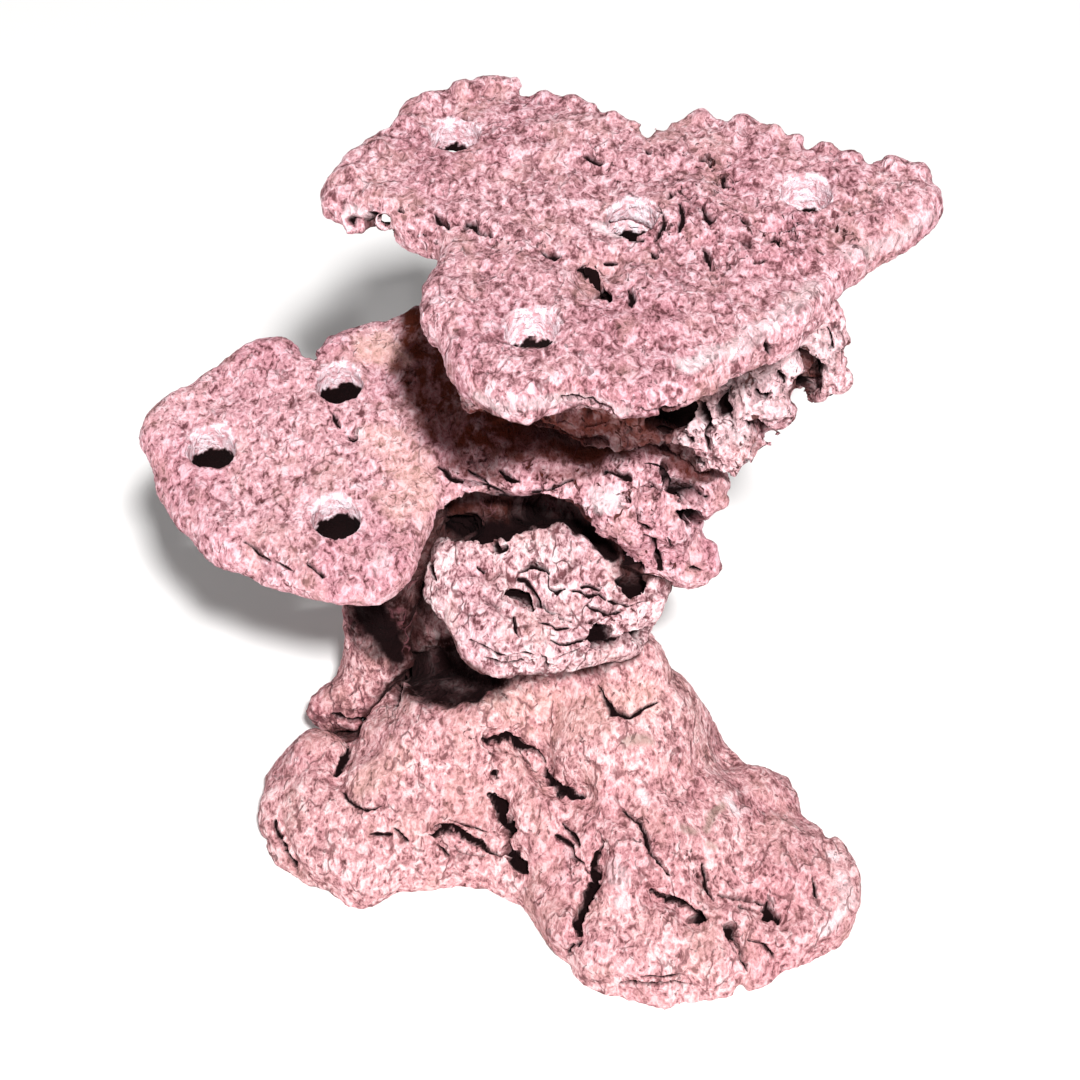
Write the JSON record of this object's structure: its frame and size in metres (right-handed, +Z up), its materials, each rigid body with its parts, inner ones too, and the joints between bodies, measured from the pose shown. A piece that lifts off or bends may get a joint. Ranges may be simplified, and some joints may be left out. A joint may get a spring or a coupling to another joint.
{
  "type": "frag rock tower",
  "caption": "Stacked tower of porous pink reef rock with two flat drilled shelves that hold coral frag plugs above a lobed foot.",
  "frame": {"origin": "centre of the tower's bounding box, on the ground that it rests on", "axes": "+Z up; -Y is the front, where the foot spreads widest; the side shelf reaches towards -X"},
  "size_m": [0.2208, 0.1742, 0.2],
  "materials": {
    "foot_rock": "rough, dry and porous",
    "rear_prop_rock": "rough, dry and porous",
    "ledge_rock": "rough, dry and porous",
    "side_shelf_rock": "rough, dry and porous",
    "pillar_rock": "rough, dry and porous",
    "top_shelf_rock": "rough, dry and porous"
  },
  "bodies": {
    "root": {"foot_rock": "foot_rock", "rear_prop_rock": "rear_prop_rock", "ledge_rock": "ledge_rock", "side_shelf_rock": "side_shelf_rock", "pillar_rock": "pillar_rock", "top_shelf_rock": "top_shelf_rock"}
  },
  "joints": []
}
